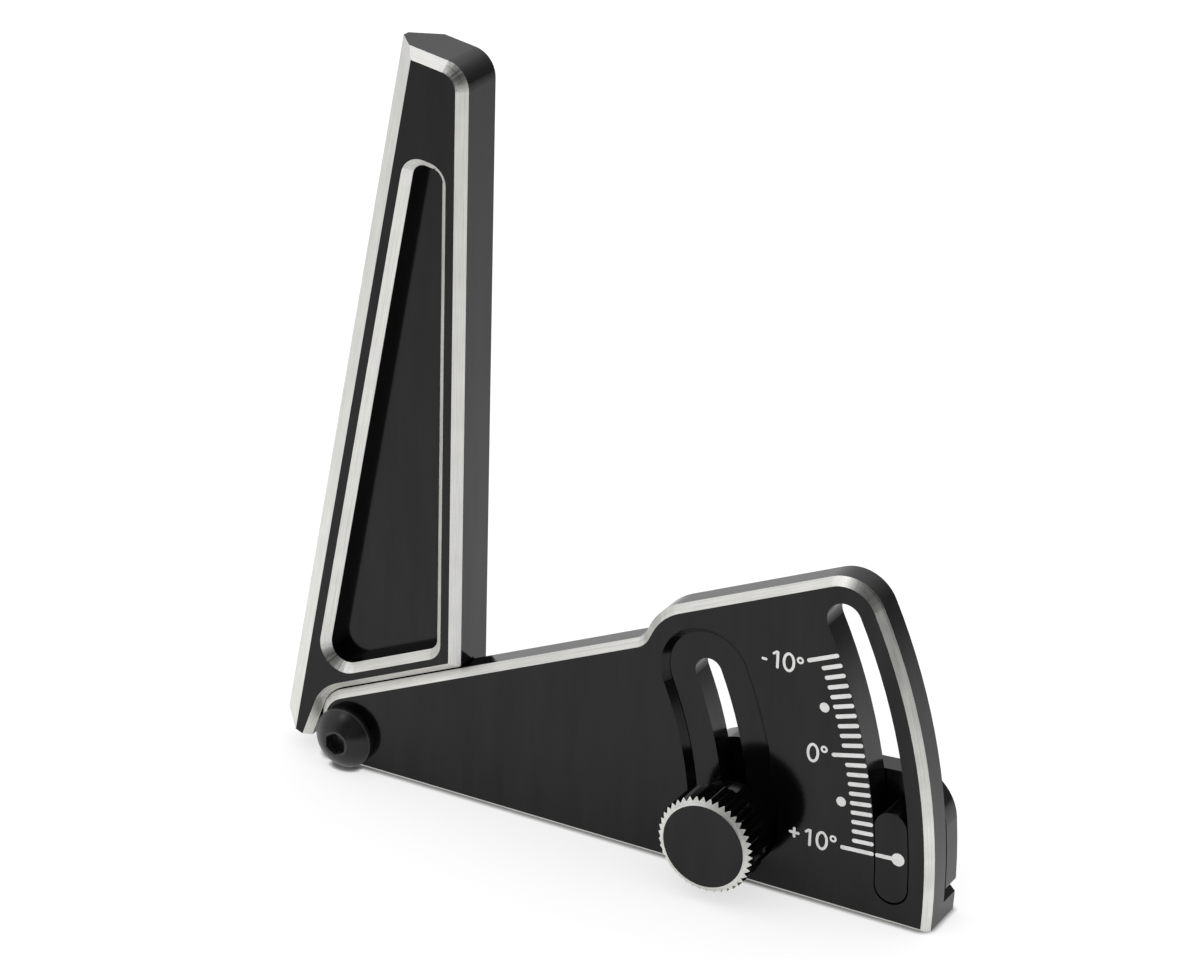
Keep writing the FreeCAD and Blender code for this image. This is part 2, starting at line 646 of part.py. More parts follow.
def make_pointer(body):
    """Raised pointer that fills the slot's width, relieved where it overhangs the foot."""
    outline = front_sketch(body, "pointer_outline")
    arc_slot(outline, SCALE_RADIUS, "(dims.zero_angle - dims.half_range)",
             "dims.pointer_reach", "(dims.scale_slot_width / 2 - dims.pointer_gap)")
    pad(body, "pointer", outline, LEG_FRONT)
    relief = front_sketch(body, "relief_outline", WEB_CLEAR)
    straight_outline(relief, [("0", "(dims.sector_radius + %s)" % OVERLAP),
                              ("90", "-dims.leg_drop"),
                              ("180", "-dims.clamp_radius"),
                              ("270", "dims.pivot_height")])
    cut(body, "pointer_relief", relief, "%s - %s" % (LEG_FRONT, WEB_CLEAR))


def make_ring(name, front, thickness, outer, inner, across="0", up="0"):
    """Flat ring about the body's axis."""
    body = new_body(name, across, up)
    outline = front_sketch(body, name + "_outline", front)
    add_circle(outline, outer)
    add_circle(outline, inner)
    pad(body, name + "_ring", outline, thickness)
    return body


def make_pivot_screw():
    """Button-head screw that the arm turns with."""
    body = new_body("pivot_screw")
    rim = "dims.pivot_head_diameter / 2"
    shank = "dims.pivot_diameter / 2"
    profile = axial_sketch(body, "pivot_screw_profile")
    turned_profile(profile, [
        (HEAD_FRONT, "0"),
        ("dims.stock_thickness - dims.pivot_tip_gap", "0"),
        ("dims.stock_thickness - dims.pivot_tip_gap", shank),
        (HEAD_SEAT, shank),
        (HEAD_SEAT, rim),
        ("%s - dims.pivot_head_rim" % HEAD_SEAT, rim),
        (HEAD_FRONT, "dims.pivot_head_flat / 2")], dome=5)
    revolve(body, "pivot_screw_turned", profile)
    socket = front_sketch(body, "pivot_socket_outline", HEAD_FRONT)
    straight_outline(socket, [(str(way), "dims.pivot_socket / 2") for way in range(0, 360, 60)])
    cut(body, "pivot_socket_hole", socket, "dims.pivot_socket_depth")
    return body


def make_thumb_knob():
    """Knurled head with a plain collar, bored from behind for the stud."""
    body = new_body("thumb_knob", CLAMP_ACROSS, CLAMP_UP)
    crest = "dims.knob_diameter / 2"
    bore = "dims.stud_diameter / 2"
    collar = "dims.collar_diameter / 2"
    profile = axial_sketch(body, "knob_profile")
    turned_profile(profile, [
        (KNOB_FRONT, "0"),
        (STUD_FRONT, "0"),
        (STUD_FRONT, bore),
        (COLLAR_BACK, bore),
        (COLLAR_BACK, collar),
        (KNOB_BACK, collar),
        (KNOB_BACK, "%s - dims.knob_back_chamfer" % crest),
        ("%s - dims.knob_back_chamfer" % KNOB_BACK, crest),
        ("%s + dims.knob_front_chamfer" % KNOB_FRONT, crest),
        (KNOB_FRONT, "dims.knob_face / 2")])
    revolve(body, "knob_turned", profile)
    notch = front_sketch(body, "notch_outline", KNOB_FRONT)
    spread = "(90 - dims.knurl_angle / 2)"
    side_reach = "((%s - dims.knurl_depth) * sin(dims.knurl_angle / 2 * 1 deg))" % crest
    straight_outline(notch, [("90", "(%s + %s)" % (crest, OVERLAP)),
                             ("(270 - %s)" % spread, "-%s" % side_reach),
                             ("(270 + %s)" % spread, "-%s" % side_reach)])
    first_notch = cut(body, "notch", notch, "dims.knob_length")
    ring = body.newObject("PartDesign::PolarPattern", "knurl")
    ring.Originals = [first_notch]
    ring.Axis = (notch, ["N_Axis"])
    ring.Angle = 360
    ring.setExpression("Occurrences", "dims.knurl_count")
    ring.Refine = True
    body.Tip = ring
    doc.recompute()
    return body


def make_thumb_stud():
    """Threaded stud, fast in the knob, that the leg is clamped with."""
    body = new_body("thumb_stud", CLAMP_ACROSS, CLAMP_UP)
    shank = "dims.stud_diameter / 2"
    profile = axial_sketch(body, "stud_profile")
    turned_profile(profile, [
        (STUD_FRONT, "0"),
        (STUD_TIP, "0"),
        (STUD_TIP, "%s - dims.stud_tip_chamfer" % shank),
        ("%s - dims.stud_tip_chamfer" % STUD_TIP, shank),
        (STUD_FRONT, shank)])
    revolve(body, "stud_turned", profile)
    return body


bodies = [
    make_base_plate(),
    make_gauge_arm(),
    make_pivot_screw(),
    make_ring("pivot_washer", HEAD_SEAT, "dims.pivot_washer_thickness",
              "dims.pivot_washer_diameter", "dims.pivot_diameter + 2 * dims.running_gap"),
    make_ring("pivot_shim", "dims.web_thickness + dims.slide_gap", "dims.shim_thickness",
              "dims.shim_diameter", "dims.pivot_diameter + 2 * dims.running_gap"),
    make_thumb_knob(),
    make_thumb_stud(),
    make_ring("thumb_washer", COLLAR_BACK, "dims.washer_thickness", "dims.washer_diameter",
              "dims.stud_diameter + 2 * dims.running_gap", CLAMP_ACROSS, CLAMP_UP),
]
doc.recompute()

for item in doc.Objects:
    if "Invalid" in item.State or "Error" in item.State:
        raise RuntimeError("%s failed: %s" % (item.Label, item.State))
for body in bodies:
    if body.Shape.isNull() or not body.Shape.isValid() or len(body.Shape.Solids) != 1:
        raise RuntimeError("%s is not one valid solid" % body.Label)

os.makedirs("parts", exist_ok=True)
for body in bodies:
    body.Shape.exportStep("parts/%s.step" % body.Label)
    box = body.Shape.BoundBox
    print("%-14s %8.1f mm3  x %.2f..%.2f  y %.2f..%.2f  z %.2f..%.2f" % (
        body.Label, body.Shape.Volume, box.XMin, box.XMax, box.YMin, box.YMax,
        box.ZMin, box.ZMax))
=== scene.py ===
import math

import bmesh
import bpy
from bpy.props import FloatProperty, FloatVectorProperty, IntProperty, PointerProperty
from bpy.types import Operator, Panel, PropertyGroup
from mathutils import Matrix, Vector


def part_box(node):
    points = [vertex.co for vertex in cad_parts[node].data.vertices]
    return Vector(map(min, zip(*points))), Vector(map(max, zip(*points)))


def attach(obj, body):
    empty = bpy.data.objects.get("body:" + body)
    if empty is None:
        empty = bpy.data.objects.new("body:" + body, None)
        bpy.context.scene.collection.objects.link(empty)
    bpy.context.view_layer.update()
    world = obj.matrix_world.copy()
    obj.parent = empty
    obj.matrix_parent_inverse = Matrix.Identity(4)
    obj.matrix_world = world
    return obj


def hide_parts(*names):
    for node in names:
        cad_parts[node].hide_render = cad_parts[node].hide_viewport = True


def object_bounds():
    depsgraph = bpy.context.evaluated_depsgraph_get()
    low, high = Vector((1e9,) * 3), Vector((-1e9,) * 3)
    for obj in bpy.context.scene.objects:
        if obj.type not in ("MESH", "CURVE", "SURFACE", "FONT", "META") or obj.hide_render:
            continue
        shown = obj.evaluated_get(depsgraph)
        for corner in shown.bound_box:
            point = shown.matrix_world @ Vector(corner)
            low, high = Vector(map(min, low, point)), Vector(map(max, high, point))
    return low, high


bl_info = {
    "name": "Camber Caster Gauge",
    "version": (1, 0, 0),
    "blender": (4, 5, 0),
    "location": "View3D > Sidebar > Gauge",
    "description": "Finishes, scale, screws and stage for a camber caster gauge",
    "category": "Object",
}

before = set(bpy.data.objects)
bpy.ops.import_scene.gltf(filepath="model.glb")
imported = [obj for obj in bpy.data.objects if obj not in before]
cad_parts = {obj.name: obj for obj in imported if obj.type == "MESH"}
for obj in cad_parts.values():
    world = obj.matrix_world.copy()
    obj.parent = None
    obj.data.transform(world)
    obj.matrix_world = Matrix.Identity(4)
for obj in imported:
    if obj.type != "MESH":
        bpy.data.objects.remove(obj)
cad_low, cad_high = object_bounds()

MM = 0.001

# Points nearer than this count as one place, and nearer than the second they are merged.
SAME_PLACE = 1e-6
MERGED = 1e-7

# Places that the frame gives: the front face, the pivot and the clamp screw's axis.
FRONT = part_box("base_plate")[0].y
PIVOT = Vector((0.0, 0.0, sum(c.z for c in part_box("pivot_screw")) / 2))
KNOB_LOW, KNOB_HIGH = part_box("thumb_knob")
CLAMP = (KNOB_LOW + KNOB_HIGH) / 2

# The arm at rest: how far its measuring edge leans back, and how far it can swing from there.
LAND_LEAN = math.radians(10)
SWING = math.radians(20)

# Where faces of one finish lie: the middle of the clamp's track to its bevelled wall, the pivot
# to the measuring edge's bevels, the pivot to the facet of the arm's leg that has painted
# light, and the knob's front to the back of its cut edge. A cut that goes round a corner is
# made of small faces.
TRACK_REACH = 6.5 * MM
BEVEL_REACH = 6.9 * MM
FACET_REACH = 40 * MM
KNOB_CUT_REACH = 0.7 * MM
CORNER_FACE_AREA = 0.4 * MM * MM

# Small cuts that the dressed pieces have.
LOW_EDGE_CUT = 0.36 * MM
KNOB_RIM_CUT = 0.2 * MM

# The number of the material that a face takes. The first one is the main finish of its piece.
MAIN_FINISH = 0
BRIGHT = 1
PLATE_LOW_CUT = 2
MEASURING_EDGE = 2
ARM_GLINTING_CORNER = 3
PAINTED_LIGHT_FACET = 4
ARM_PAINTED_LIGHT_CUT = 5
KNOB_CUT = 1

# Painted highlights on the screw's head: paler rings where the socket's countersink and the
# head's rim catch light, each with its radius and width, and the paler colour of these rings.
HIGHLIGHT_RINGS = ((1.52 * MM, 0.14 * MM), (3.74 * MM, 0.04 * MM))
RING_HIGHLIGHT_GREY = (0.045, 0.045, 0.047, 1.0)

# Every mark is a body this many reliefs deep, which starts one relief out of the face. A bar's
# corners are rounded over just under half its width, and the steps are those of the rounds.
MARK_DEPTH = 4
BAR_ROUNDING = 0.49
BAR_CORNER_STEPS = 5
DISC_STEPS = 32
RING_STEPS = 40

# The pointer's line: the pivot to its inner end, and how far it runs into the dot.
INDEX_LINE_START = 70.12 * MM
INDEX_LINE_OVERLAP = 0.3 * MM

# The signs of each number, with the place of each sign's middle in millimetres along X and Z.
NUMBERS = (
    ("minus_ten", (("-", 55.0, 29.05), ("1", 56.35, 29.35), ("0", 58.05, 29.4),
                   ("degree", 59.45, 30.0))),
    ("zero", (("0", 61.6, 18.95), ("degree", 62.97, 19.75))),
    ("plus_ten", (("+", 59.8, 8.15), ("1", 61.5, 8.05), ("0", 63.3, 8.1),
                  ("degree", 64.7, 8.75))),
)

# The studio: its lamps, the way to its unlit side, the way to the far right of the floor, and
# how far from a touching piece the floor's glow dims, for the camera and in gloss.
TOP_LAMP_SIZE = 0.6
TOP_LAMP_OFFSET = Vector((-0.1, 0.25, 0.6))
FRONT_LAMP_SIZE = 0.2
FRONT_LAMP_PLACE = Vector((-0.23, -0.29, 0.6))
UNLIT_WAY = (0.9, -0.45, 0.0)
FAR_RIGHT_WAY = (0.66, 0.75, 0.0)
TOUCH_REACH = 0.8 * MM
NEAR_REACH = 20 * MM

# The camera's place, and its turns in radians.
CAMERA_PLACE = (0.2320074, -0.3734293, 0.2370239)
CAMERA_YAW = 0.4927512
CAMERA_PITCH = 0.4273332
CAMERA_ROLL = 0.0292159


# Settings


class GaugeFinish(PropertyGroup):
    """Colours and roughness of the finishes"""
    black: FloatVectorProperty(
        name="Black Anodising", description="Colour of the dyed surfaces",
        subtype="COLOR", size=3, min=0.0, max=1.0, default=(0.0022, 0.0022, 0.0022))
    black_roughness: FloatProperty(
        name="Anodising Roughness", description="Mean roughness of the dyed surfaces",
        subtype="FACTOR", min=0.0, max=1.0, default=0.14)
    bright: FloatVectorProperty(
        name="Cut Metal", description="Colour of the chamfers cut after anodising",
        subtype="COLOR", size=3, min=0.0, max=1.0, default=(0.82, 0.815, 0.785))
    bright_roughness: FloatProperty(
        name="Cut Metal Roughness", description="Mean roughness of the chamfers",
        subtype="FACTOR", min=0.0, max=1.0, default=0.40)
    mark: FloatVectorProperty(
        name="Engraving", description="Colour of the engraved marks and numbers",
        subtype="COLOR", size=3, min=0.0, max=1.0, default=(0.95, 0.95, 0.93))
    oxide: FloatVectorProperty(
        name="Black Oxide", description="Colour of the screw and the washers",
        subtype="COLOR", size=3, min=0.0, max=1.0, default=(0.012, 0.012, 0.0122))
    steel: FloatVectorProperty(
        name="Steel", description="Colour of the bare shim and stud",
        subtype="COLOR", size=3, min=0.0, max=1.0, default=(0.42, 0.42, 0.43))


class GaugeScale(PropertyGroup):
    """Sizes of the scale, its numbers and the pointer's mark"""
    zero_angle: FloatProperty(
        name="Zero Mark", description="Direction of the zero mark above the horizontal",
        subtype="ANGLE", default=math.radians(13.5))
    half_range: IntProperty(
        name="Range", description="Degrees on each side of the zero mark",
        min=1, max=20, default=10)
    outer_radius: FloatProperty(
        name="Outer Ends", description="Pivot to the outer ends of the marks",
        unit="LENGTH", default=69.95 * MM)
    long_radius: FloatProperty(
        name="Long Marks", description="Pivot to the inner ends of the long marks",
        unit="LENGTH", default=65.75 * MM)
    short_radius: FloatProperty(
        name="Short Marks", description="Pivot to the inner ends of the one-degree marks",
        unit="LENGTH", default=67.25 * MM)
    dot_radius: FloatProperty(
        name="Dots", description="Pivot to the dots at five degrees",
        unit="LENGTH", default=66.15 * MM)
    dot_size: FloatProperty(
        name="Dot Size", description="Diameter of the dots",
        unit="LENGTH", default=1.2 * MM)
    long_width: FloatProperty(
        name="Long Mark Width", description="Width of the long marks",
        unit="LENGTH", default=0.50 * MM)
    short_width: FloatProperty(
        name="Short Mark Width", description="Width of the one-degree marks",
        unit="LENGTH", default=0.51 * MM)
    number_height: FloatProperty(
        name="Number Height", description="Height of the digits",
        unit="LENGTH", default=2.45 * MM)
    number_stroke: FloatProperty(
        name="Number Stroke", description="Width of the digits' strokes",
        unit="LENGTH", default=0.34 * MM)
    relief: FloatProperty(
        name="Relief", description="How far the marks stand out of the face",
        unit="LENGTH", default=0.01 * MM)
    index_dot_radius: FloatProperty(
        name="Index Dot", description="Pivot to the dot on the pointer",
        unit="LENGTH", default=72.95 * MM)
    index_dot_size: FloatProperty(
        name="Index Dot Size", description="Diameter of the dot on the pointer",
        unit="LENGTH", default=1.6 * MM)


class GaugeStage(PropertyGroup):
    """Floor, light and lens"""
    focal_length: FloatProperty(
        name="Focal Length", description="Lens on a 36 mm wide sensor, in millimetres",
        subtype="DISTANCE_CAMERA", default=122.66)
    floor_size: FloatProperty(
        name="Floor", description="Edge of the floor",
        unit="LENGTH", default=3.0)
    floor_shade: FloatProperty(
        name="Floor Shade", description="Grey of the floor",
        subtype="FACTOR", min=0.0, max=1.0, default=0.42)
    fill: FloatProperty(
        name="Sky", description="Light that comes evenly from all round",
        subtype="FACTOR", min=0.0, max=1.0, default=1.0)
    dark_side: FloatProperty(
        name="Dark Side", description="How much of the sky shows in gloss on the right",
        subtype="FACTOR", min=0.0, max=1.0, default=0.04)
    top_power: FloatProperty(
        name="Top Lamp", description="Power of the large lamp overhead",
        unit="POWER", default=0.22)
    front_power: FloatProperty(
        name="Front Lamp", description="Power of the small lamp at the upper left",
        unit="POWER", default=0.28)


# Shader parts


def fresh_material(name):
    """A new material with its node tree and its shader."""
    material = bpy.data.materials.new(name)
    material.use_nodes = True
    tree = material.node_tree
    return material, tree, tree.nodes["Principled BSDF"]


def add_node(tree, kind, links=(), **values):
    """A shader node with its settings, its unlinked inputs and its links."""
    made = tree.nodes.new(kind)
    for key, value in values.items():
        if key in made.bl_rna.properties:
            setattr(made, key, value)
    for key, value in values.items():
        if key not in made.bl_rna.properties:
            made.inputs[key.replace("_", " ")].default_value = value
    for socket, source in links:
        tree.links.new(source, made.inputs[socket])
    return made


def combine(tree, operation, *values):
    """Sockets and plain numbers put together by one operation of a Math node."""
    made = add_node(tree, "ShaderNodeMath", operation=operation)
    for socket, value in zip(made.inputs, values):
        if isinstance(value, bpy.types.NodeSocket):
            tree.links.new(value, socket)
        else:
            socket.default_value = value
    return made.outputs["Value"]


def object_point(tree, scale=(1.0, 1.0, 1.0)):
    """Object coordinates, stretched."""
    place = add_node(tree, "ShaderNodeTexCoord")
    mapping = add_node(tree, "ShaderNodeMapping", [("Vector", place.outputs["Object"])],
                       Scale=scale)
    return mapping.outputs["Vector"]


def axis_distance(tree, centre):
    """How far a point lies from the axis that runs through the centre along Y."""
    place = add_node(tree, "ShaderNodeTexCoord")
    mapping = add_node(tree, "ShaderNodeMapping", [("Vector", place.outputs["Object"])],
                       Location=(-centre.x, 0.0, -centre.z), Scale=(1.0, 0.0, 1.0))
    length = add_node(tree, "ShaderNodeVectorMath", [(0, mapping.outputs["Vector"])],
                      operation="LENGTH")
    return length.outputs["Value"]


def reach_along(tree, way, coordinates):
    """How far a point or a direction reaches along a way."""
    place = add_node(tree, "ShaderNodeTexCoord")
    made = add_node(tree, "ShaderNodeVectorMath", [(0, place.outputs[coordinates])],
                    operation="DOT_PRODUCT")
    made.inputs[1].default_value = way
    return made.outputs["Value"]


def noise(tree, point, scale, detail=3.0, roughness=0.55):
    """A noise pattern between 0 and 1."""
    made = add_node(tree, "ShaderNodeTexNoise", [("Vector", point)],
                    Scale=scale, Detail=detail, Roughness=roughness)
    return made.outputs["Fac"]


def spread(tree, value, low, high, start=0.3, end=0.7):
    """The value moved from one range, start to end, into another, low to high."""
    made = add_node(tree, "ShaderNodeMapRange", [("Value", value)])
    for socket, number in (("From Min", start), ("From Max", end),
                           ("To Min", low), ("To Max", high)):
        made.inputs[socket].default_value = number
    return made.outputs["Result"]


def blend_colours(tree, value, first, second):
    """A colour between two, where the value runs over the middle of its range."""
    ramp = add_node(tree, "ShaderNodeValToRGB", [("Fac", value)])
    for element, position, colour in zip(ramp.color_ramp.elements, (0.3, 0.7), (first, second)):
        element.position = position
        element.color = (*colour, 1.0)
    return ramp.outputs["Color"]


def bump(tree, shader, height, distance):
    """Relief that the shader shows without moving the surface."""
    made = add_node(tree, "ShaderNodeBump", [("Height", height)],
                    Distance=distance, Strength=1.0)
    tree.links.new(made.outputs["Normal"], shader.inputs["Normal"])


def scaled(colour, factor):
    """A lighter or darker colour."""
    return tuple(min(1.0, channel * factor) for channel in colour)


# Materials


def anodised(name, finish, lightness=1.0, specular=0.29, turned=None):
    """Dyed anodised aluminium: nearly black, with an even satin sheen.

    Where turned names a point, fine turned rings run round the axis through it.
    """
    material, tree, shader = fresh_material(name)
    cloud = noise(tree, object_point(tree), 90.0, detail=4.0)
    colour = blend_colours(tree, cloud, scaled(finish.black, 0.8 * lightness),
                           scaled(finish.black, 1.25 * lightness))
    tree.links.new(colour, shader.inputs["Base Color"])
    rough = spread(tree, cloud, finish.black_roughness - 0.02, finish.black_roughness + 0.03)
    tree.links.new(rough, shader.inputs["Roughness"])
    streaks = noise(tree, object_point(tree, (9.0, 9.0, 1.0)), 40.0, detail=5.0, roughness=0.7)
    tree.links.new(spread(tree, streaks, 0.9 * specular, 1.12 * specular),
                   shader.inputs["Specular IOR Level"])
    if turned is None:
        fine = noise(tree, object_point(tree), 2600.0, detail=2.0)
    else:
        rings = add_node(tree, "ShaderNodeTexNoise", [("W", axis_distance(tree, turned))],
                         noise_dimensions="1D", Scale=4000.0, Detail=3.0)
        fine = rings.outputs["Fac"]
    bump(tree, shader, fine, 0.0015 * MM)
    return material


def bright_cut(name, finish, shade=1.0, bands=(0.86, 1.1), roughness=None):
    """Bare aluminium of a chamfer: fine lines along the cut; tool marks and painted glints at
    corners.
    """
    material, tree, shader = fresh_material(name)
    along = noise(tree, object_point(tree, (14.0, 900.0, 14.0)), 10.0, detail=5.0)
    facing = add_node(tree, "ShaderNodeTexCoord").outputs["Normal"]
    # Bands that follow the facing, so they show where the cut turns: partly tool marks, partly
    # painted glints.
    tool_marks_and_glints = noise(tree, facing, 16.0, detail=3.0, roughness=0.7)
    worn = noise(tree, object_point(tree), 260.0, detail=4.0)
    pattern = combine(tree, "MULTIPLY", spread(tree, along, 0.8, 1.1),
                      spread(tree, tool_marks_and_glints, *bands))
    light = blend_colours(tree, worn, scaled(finish.bright, 0.94 * shade),
                          scaled(finish.bright, 1.04 * shade))
    tint = add_node(tree, "ShaderNodeMix", [(6, light), (7, pattern)],
                    data_type="RGBA", blend_type="MULTIPLY", Factor=1.0)
    tree.links.new(tint.outputs[2], shader.inputs["Base Color"])
    mean = roughness or finish.bright_roughness
    tree.links.new(spread(tree, along, mean - 0.07, mean + 0.09), shader.inputs["Roughness"])
    shader.inputs["Metallic"].default_value = 1.0
    bump(tree, shader, along, 0.004 * MM)
    return material


def engraving(name, finish):
    """Laser-cut marks: a pale matt grey with a fine grain."""
    material, tree, shader = fresh_material(name)
    grain = noise(tree, object_point(tree), 5200.0, detail=2.0)
    cloud = noise(tree, object_point(tree), 700.0, detail=3.0)
    tree.links.new(blend_colours(tree, cloud, scaled(finish.mark, 0.92),
                                 scaled(finish.mark, 1.08)), shader.inputs["Base Color"])
    tree.links.new(spread(tree, grain, 0.5, 0.72), shader.inputs["Roughness"])
    bump(tree, shader, grain, 0.003 * MM)
    return material


def black_oxide(name, finish, worn_rings=(), lightness=1.0):
    """Blackened steel: matt, with a faint mottle, and painted highlight rings round the pivot.
    """
    material, tree, shader = fresh_material(name)
    mottle = noise(tree, object_point(tree), 900.0, detail=5.0, roughness=0.65)
    colour = blend_colours(tree, mottle, scaled(finish.oxide, 0.75 * lightness),
                           scaled(finish.oxide, 1.3 * lightness))
    # Each ring is a painted highlight where the socket's countersink or the head's rim catches
    # light.
    for radius, width in worn_rings:
        off = combine(tree, "SUBTRACT", axis_distance(tree, PIVOT), radius)
        share = spread(tree, combine(tree, "ABSOLUTE", off), 1.0, 0.0, start=width / 2,
                       end=width)
        worn = add_node(tree, "ShaderNodeMix", [("Factor", share), (6, colour)],
                        data_type="RGBA")
        worn.inputs[7].default_value = RING_HIGHLIGHT_GREY
        colour = worn.outputs[2]
    tree.links.new(colour, shader.inputs["Base Color"])
    tree.links.new(spread(tree, mottle, 0.24, 0.34), shader.inputs["Roughness"])
    shader.inputs["Specular IOR Level"].default_value = 0.34
    bump(tree, shader, mottle, 0.004 * MM)
    return material


def bare_steel(name, finish):
    """Plain steel with fine turned lines."""
    material, tree, shader = fresh_material(name)
    lines = noise(tree, object_point(tree, (30.0, 900.0, 30.0)), 12.0, detail=4.0)
    tree.links.new(blend_colours(tree, lines, scaled(finish.steel, 0.8),
                                 scaled(finish.steel, 1.15)), shader.inputs["Base Color"])
    tree.links.new(spread(tree, lines, 0.3, 0.46), shader.inputs["Roughness"])
    shader.inputs["Metallic"].default_value = 1.0
    bump(tree, shader, lines, 0.003 * MM)
    return material


def shared_material(name, make, **details):
    """The material of that name, made when it is first asked for."""
    finish = bpy.context.scene.gauge_finish
    return bpy.data.materials.get(name) or make(name, finish, **details)


def black_material():
    """The dyed finish of both plates."""
    return shared_material("black_anodised", anodised)


def bright_material():
    """The plain bright cut."""
    return shared_material("cut_bright", bright_cut)


def corner_glint_material():
    """The cut where it goes round a corner, painted lighter, with stronger bands of painted
    glints.
    """
    return shared_material("glinting_corner_cut", bright_cut, shade=1.1, bands=(0.4, 1.3),
                           roughness=0.44)


def soft_painted_light_material():
    """A rougher cut that scatters more, and a lighter copy of the cut: painted light."""
    return shared_material("soft_cut_painted_light", bright_cut, shade=1.08, bands=(0.92, 1.05),
                           roughness=0.66)


def mark_material():
    """The finish of all marks and numbers."""
    return shared_material("pale_engraving", engraving)


# Pieces made from the solids


def finished_piece(name, mesh, body, materials):
    """A piece at the origin that rides on a body and takes its finish from a slot."""
    piece = bpy.data.objects.new(name, mesh)
    bpy.context.scene.collection.objects.link(piece)
    for material in materials:
        mesh.materials.append(material)
    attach(piece, body)
    return piece


def finish_cut(faces, kept, number):
    """Flat shading and a material number for the faces of a new cut."""
    for face in faces:
        face.normal_update()
        face.material_index = number
        for loop in face.loops:
            loop[kept] = face.normal


def cut_edges(bm, edges, width, kept, number):
    """A narrow flat chamfer on the edges."""
    made = bmesh.ops.bevel(bm, geom=edges, offset=width, offset_type="WIDTH", segments=1,
                           profile=0.5, affect="EDGES", material=-1)
    finish_cut(made["faces"], kept, number)


def slope_rim(bm, faces, width, kept, number):
    """A band that slopes back along the outline of the foremost faces."""
    flat = bmesh.ops.dissolve_faces(bm, faces=faces, use_verts=False)["region"][0]
    outline = list(flat.verts)
    made = bmesh.ops.inset_individual(bm, faces=[flat], thickness=width, use_even_offset=True)
    bmesh.ops.translate(bm, verts=outline, vec=(0, width, 0))
    finish_cut(made["faces"], kept, number)


def standing_edges(bm):
    """The front edges that stand on the ground."""
    return [edge for edge in bm.edges if all(
        abs(vert.co.z) < SAME_PLACE and abs(vert.co.y - FRONT) < SAME_PLACE
        for vert in edge.verts)]


def foremost_faces(bm):
    """The faces of the flat that lies furthest to the front."""
    front = min(vert.co.y for vert in bm.verts)
    return [face for face in bm.faces if face.normal.y < -0.999
            and face.calc_center_median().y < front + SAME_PLACE]


def merged_copy(name, node, choose, low_cut=0.0, rim_cut=0.0):
    """A copy of a node's mesh with its points merged and a material number for each face.

    The node's own smooth shading is kept. Where low_cut is given, the front edge that stands
    on the ground gets a chamfer of that width, and where rim_cut is given, the foremost flat
    face gets a sloping band of that width along its outline.
    """
    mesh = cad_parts[node].data.copy()
    mesh.name = name
    mesh.materials.clear()
    shading = iter([corner.vector.copy() for corner in mesh.corner_normals])
    bm = bmesh.new()
    bm.from_mesh(mesh)
    kept = bm.loops.layers.float_vector.new("kept_normal")
    for face in bm.faces:
        for loop in face.loops:
            loop[kept] = next(shading)
    bmesh.ops.remove_doubles(bm, verts=bm.verts, dist=MERGED)
    for face in bm.faces:
        face.smooth = True
        face.material_index = choose(face)
    if low_cut:
        cut_edges(bm, standing_edges(bm), low_cut, kept, PLATE_LOW_CUT)
    if rim_cut:
        slope_rim(bm, foremost_faces(bm), rim_cut, kept, KNOB_CUT)
    bm.to_mesh(mesh)
    bm.free()
    normals = [value.vector.copy() for value in mesh.attributes["kept_normal"].data]
    mesh.attributes.remove(mesh.attributes["kept_normal"])
    mesh.normals_split_custom_set(normals)
    return mesh


def is_slanted(face):
    """True for the faces of a 45 degree chamfer on the front or the back."""
    return abs(abs(face.normal.y) - math.sqrt(0.5)) < 0.03


def turns_upper_corner(face):
    """True for the narrow faces that carry a chamfer round a corner and look up and right."""
    return (face.calc_area() < CORNER_FACE_AREA
            and face.normal.x > 0.05 and face.normal.z > 0.05)


def is_in_track(face):
    """True for the faces that look into the track round the clamp's slot."""
    spot = face.calc_center_median() - PIVOT
    start = CLAMP - PIVOT
    first = math.atan2(start.z, start.x)
    angle = min(max(math.atan2(spot.z, spot.x), first), first + SWING)
    middle = math.hypot(start.x, start.z) * Vector((math.cos(angle), 0.0, math.sin(angle)))
    to_middle = middle - Vector((spot.x, 0.0, spot.z))
    return to_middle.length < TRACK_REACH and to_middle.dot(face.normal) > 0


def plate_face_kind(face):
    """The cuts of the sector plate are bright, apart from the track's bevel."""
    return BRIGHT if is_slanted(face) and not is_in_track(face) else MAIN_FINISH


def arm_face_kind(face):
    """The arm's cuts take their finish from where they look; the leg's top facet has painted
    light.
    """
    land = Vector((-math.cos(LAND_LEAN), 0.0, math.sin(LAND_LEAN)))
    centre = face.calc_center_median()
    if (centre - PIVOT).dot(land) > BEVEL_REACH and (face.normal.dot(land) > 0.99
                                                     or is_slanted(face)):
        return MEASURING_EDGE
    # The upward facet of the leg, painted lighter as light falling from above.
    if face.normal.z > 0.8 and face.normal.x < -0.3 and centre.x > FACET_REACH:
        return PAINTED_LIGHT_FACET
    if not is_slanted(face) or face.normal.y > 0:
        return MAIN_FINISH
    # Cuts that face down or left take the lighter copy of the cut: painted light.
    if face.normal.z < -0.3 or face.normal.x < -0.3:
        return ARM_PAINTED_LIGHT_CUT
    # Cuts round the upper right corner take the lighter copy with strong bands: painted glints.
    return ARM_GLINTING_CORNER if turns_upper_corner(face) else BRIGHT


def knob_face_kind(face):
    """The knob's sloping front edge is cut bright."""
    is_low = face.calc_center_median().y < KNOB_LOW.y + KNOB_CUT_REACH
    return KNOB_CUT if is_low and -0.97 < face.normal.y < -0.3 else MAIN_FINISH


